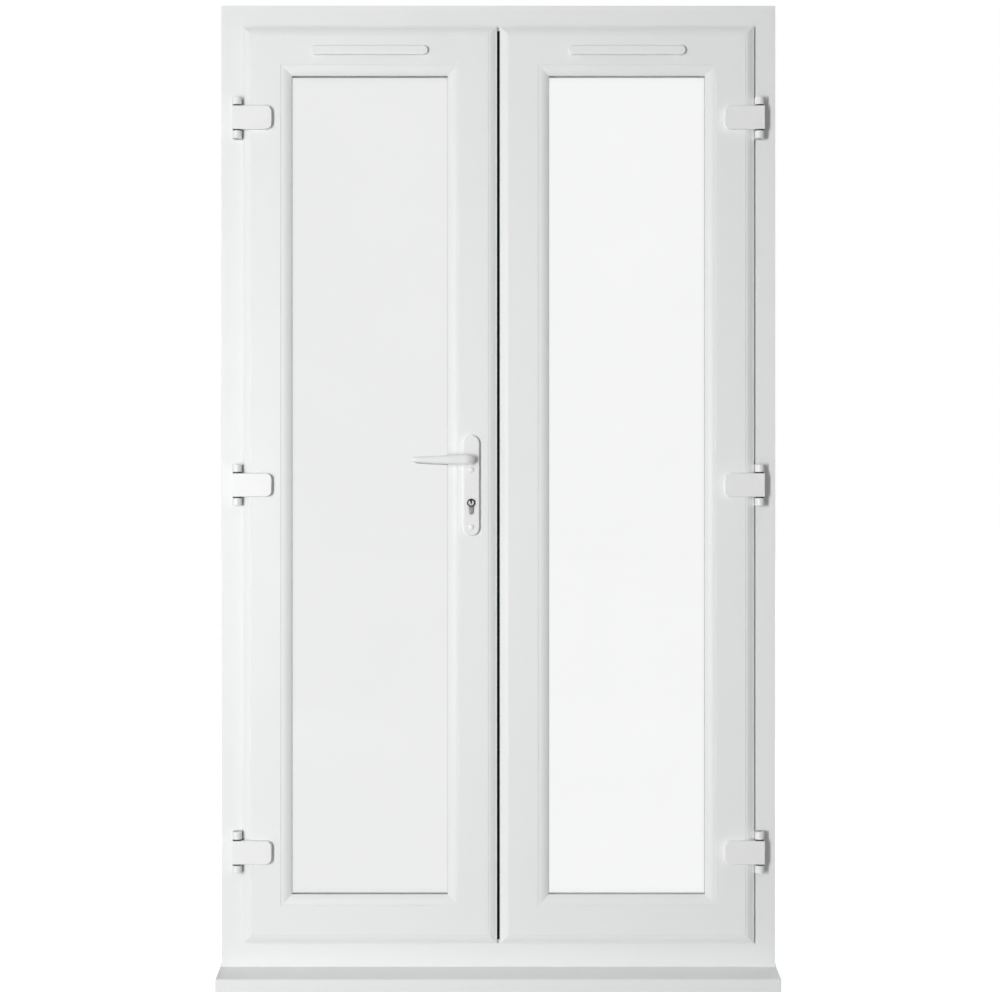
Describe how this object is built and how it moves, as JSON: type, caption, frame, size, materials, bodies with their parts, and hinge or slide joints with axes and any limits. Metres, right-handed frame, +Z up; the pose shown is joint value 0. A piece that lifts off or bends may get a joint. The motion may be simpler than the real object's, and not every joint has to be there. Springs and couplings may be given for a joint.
{
  "type": "french doors",
  "caption": "Outward-opening white french doors in their frame on a sill, with clear panes, flag hinges, vent covers and a lever handle.",
  "frame": {"origin": "middle of the width at the frame's outside face, on the underside of the sill", "axes": "+X right as seen from outside, +Y into the room, +Z up"},
  "size_m": [1.194, 0.1745, 2.1],
  "materials": {
    "white_upvc": "smooth white uPVC, soft gloss",
    "hinge_white": "white powder-coated metal",
    "steel": "bright zinc-plated steel",
    "clear_glass": "clear polished float glass",
    "spacer_metal": "satin aluminium spacer",
    "black_rubber": "matt black rubber",
    "grey_washer": "matt dark grey plastic",
    "white_handle": "white powder-coated metal",
    "nickel_lock": "satin nickel"
  },
  "bodies": {
    "frame": {"sill": "white_upvc", "sill_end_caps": "white_upvc", "frame_head": "white_upvc", "frame_threshold": "white_upvc", "frame_jamb_left": "white_upvc", "frame_jamb_right": "white_upvc", "frame_reinforcement": "steel", "frame_weatherseal": "black_rubber", "shootbolt_keeps": "steel", "left_hinge_frame_leaves": "hinge_white", "right_hinge_frame_leaves": "hinge_white", "hinge_pins": "steel", "hinge_washers": "grey_washer"},
    "master_leaf": {"left_hinge_sash_leaves": "hinge_white", "master_hinge_stile": "white_upvc", "master_lock_stile": "white_upvc", "master_top_rail": "white_upvc", "master_bottom_rail": "white_upvc", "master_reinforcement": "steel", "master_glass_panes": "clear_glass", "master_spacer": "spacer_metal", "master_glazing_gaskets": "black_rubber", "master_glazing_beads": "white_upvc", "master_weatherseal": "black_rubber", "master_vent_cover": "white_upvc", "master_vent_base": "white_upvc", "outside_backplate": "white_handle", "inside_backplate": "white_handle", "handle_bolts": "white_handle", "cylinder_body": "nickel_lock", "lock_case": "steel", "lock_faceplate": "steel"},
    "slave_leaf": {"right_hinge_sash_leaves": "hinge_white", "slave_hinge_stile": "white_upvc", "slave_meeting_stile": "white_upvc", "slave_top_rail": "white_upvc", "slave_bottom_rail": "white_upvc", "slave_reinforcement": "steel", "slave_glass_panes": "clear_glass", "slave_spacer": "spacer_metal", "slave_glazing_gaskets": "black_rubber", "slave_glazing_beads": "white_upvc", "slave_weatherseal": "black_rubber", "slave_vent_cover": "white_upvc", "slave_vent_base": "white_upvc", "floating_mullion": "white_upvc", "mullion_gasket": "black_rubber", "mullion_end_caps": "black_rubber", "latch_keep": "steel"},
    "handle": {"outside_lever": "white_handle", "inside_lever": "white_handle", "lever_spindle": "white_handle"},
    "key_plug": {"cylinder_plug": "nickel_lock"},
    "latch": {"latch": "steel"},
    "shootbolt_top": {"shootbolt_top": "steel"},
    "shootbolt_bottom": {"shootbolt_bottom": "steel"},
    "master_vent_flap": {"master_vent_flap": "white_upvc"},
    "slave_vent_flap": {"slave_vent_flap": "white_upvc"},
    "slave_bolt_top": {"slave_bolt_top": "steel"},
    "slave_bolt_bottom": {"slave_bolt_bottom": "steel"}
  },
  "joints": [
    {"name": "master_leaf_swing", "type": "hinge", "parent": "frame", "child": "master_leaf", "pos_m": [-0.5586, -0.02, 1.07], "axis": [0, 0, -1], "range_deg": [0, 100]},
    {"name": "slave_leaf_swing", "type": "hinge", "parent": "frame", "child": "slave_leaf", "pos_m": [0.5586, -0.02, 1.07], "axis": [0, 0, 1], "range_deg": [0, 85]},
    {"name": "handle_lift", "type": "hinge", "parent": "master_leaf", "child": "handle", "pos_m": [-0.058, 0.017, 1.124], "axis": [0, 1, 0], "range_deg": [0, 40], "stiffness_Nm_per_rad": 2, "springref_deg": -11.46},
    {"name": "key_turn", "type": "hinge", "parent": "master_leaf", "child": "key_plug", "pos_m": [-0.058, 0.025, 1.032], "axis": [0, 1, 0], "range_deg": [-180, 180]},
    {"name": "latch_slide", "type": "slide", "parent": "master_leaf", "child": "latch", "axis": [1, 0, 0], "range_m": [0, 0.018]},
    {"name": "shootbolt_top_slide", "type": "slide", "parent": "master_leaf", "child": "shootbolt_top", "axis": [0, 0, 1], "range_m": [0, 0.02]},
    {"name": "shootbolt_bottom_slide", "type": "slide", "parent": "master_leaf", "child": "shootbolt_bottom", "axis": [0, 0, -1], "range_m": [0, 0.02]},
    {"name": "master_vent_flap_turn", "type": "hinge", "parent": "master_leaf", "child": "master_vent_flap", "pos_m": [-0.2755, 0.0578, 1.9915], "axis": [-1, 0, 0], "range_deg": [0, 60]},
    {"name": "slave_vent_flap_turn", "type": "hinge", "parent": "slave_leaf", "child": "slave_vent_flap", "pos_m": [0.2755, 0.0578, 1.9915], "axis": [-1, 0, 0], "range_deg": [0, 60]},
    {"name": "slave_bolt_top_slide", "type": "slide", "parent": "slave_leaf", "child": "slave_bolt_top", "axis": [0, 0, 1], "range_m": [0, 0.02]},
    {"name": "slave_bolt_bottom_slide", "type": "slide", "parent": "slave_leaf", "child": "slave_bolt_bottom", "axis": [0, 0, -1], "range_m": [0, 0.02]}
  ],
  "couplings": [
    {"joint": "slave_leaf_swing", "follows": "master_leaf_swing", "ratio": 0.85},
    {"joint": "shootbolt_top_slide", "follows": "handle_lift", "m_per_rad": 0.0286},
    {"joint": "shootbolt_bottom_slide", "follows": "handle_lift", "m_per_rad": 0.0286}
  ]
}
